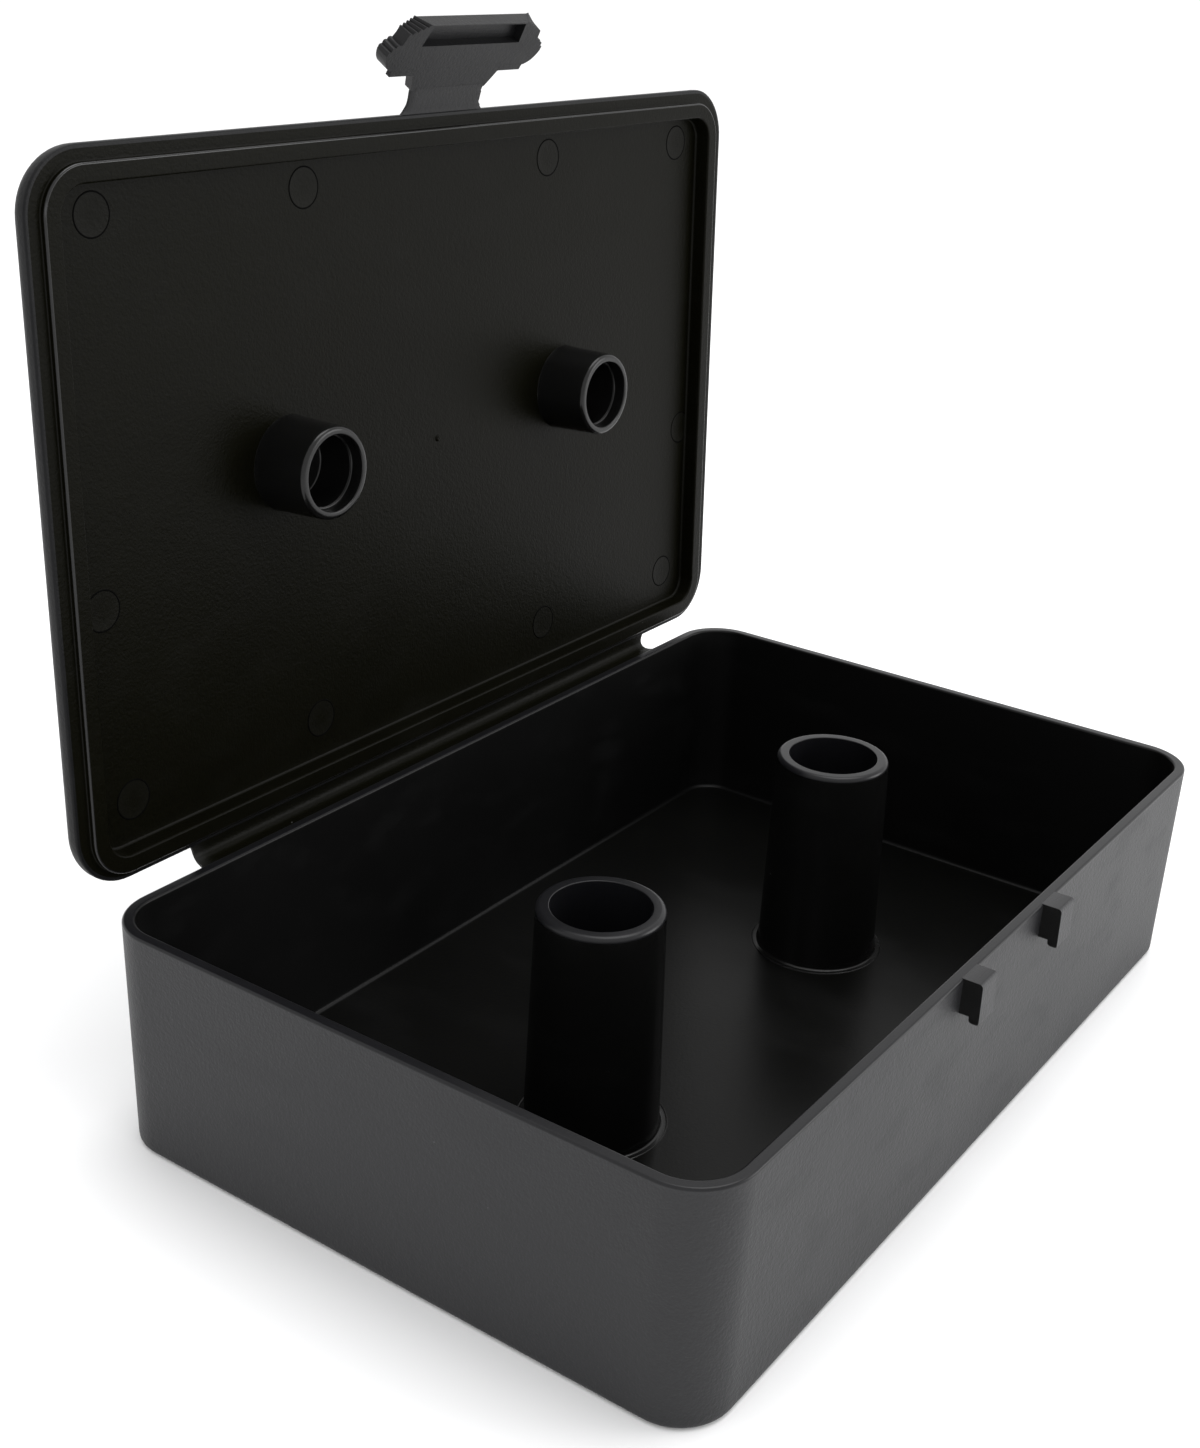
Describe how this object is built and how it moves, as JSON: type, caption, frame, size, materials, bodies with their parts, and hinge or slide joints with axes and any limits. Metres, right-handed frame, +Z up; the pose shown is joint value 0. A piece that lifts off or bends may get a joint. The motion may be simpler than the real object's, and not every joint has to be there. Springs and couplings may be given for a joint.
{
  "type": "battery box",
  "caption": "Shallow moulded plastic battery box with a living-hinged lid, hollow posts that take the lid's spigots, and a folding T-shaped latch.",
  "frame": {"origin": "centre of the tray's flat underside", "axes": "+Z up; X along the hinge line; latch side towards -Y and hinge side towards +Y"},
  "size_m": [0.2168, 0.1545, 0.2098],
  "materials": {
    "tray_plastic": "fine spark-eroded texture outside, smoother inside",
    "lid_plastic": "fine texture with ejector marks inside",
    "latch_plastic": "satin where it flexes"
  },
  "bodies": {
    "base": {"tray_floor": "tray_plastic", "front_wall": "tray_plastic", "back_wall": "tray_plastic", "near_end_wall": "tray_plastic", "far_end_wall": "tray_plastic", "near_post": "tray_plastic", "far_post": "tray_plastic", "near_hook": "tray_plastic", "far_hook": "tray_plastic", "hinge_web": "latch_plastic"},
    "lid": {"lid_panel": "lid_plastic", "lid_rim": "lid_plastic", "lid_lip": "lid_plastic", "near_spigot": "lid_plastic", "far_spigot": "lid_plastic"},
    "strap": {"latch_strap": "latch_plastic"},
    "handle": {"latch_handle": "latch_plastic"}
  },
  "joints": [
    {"name": "lid_hinge", "type": "hinge", "parent": "base", "child": "lid", "pos_m": [0, 0.07189, 0.04838], "axis": [1, 0, 0], "range_deg": [-88.5, 91.5], "deforming": ["hinge_web"]},
    {"name": "strap_fold", "type": "hinge", "parent": "lid", "child": "strap", "pos_m": [0, 0.07662, 0.19034], "axis": [1, 0, 0], "range_deg": [-17.5, 72.5]},
    {"name": "handle_fold", "type": "hinge", "parent": "strap", "child": "handle", "pos_m": [0, 0.07541, 0.19457], "axis": [1, 0, 0], "range_deg": [-17.5, 4.23]}
  ],
  "couplings": [
    {"joint": "handle_fold", "follows": "strap_fold", "ratio": -0.24138}
  ]
}
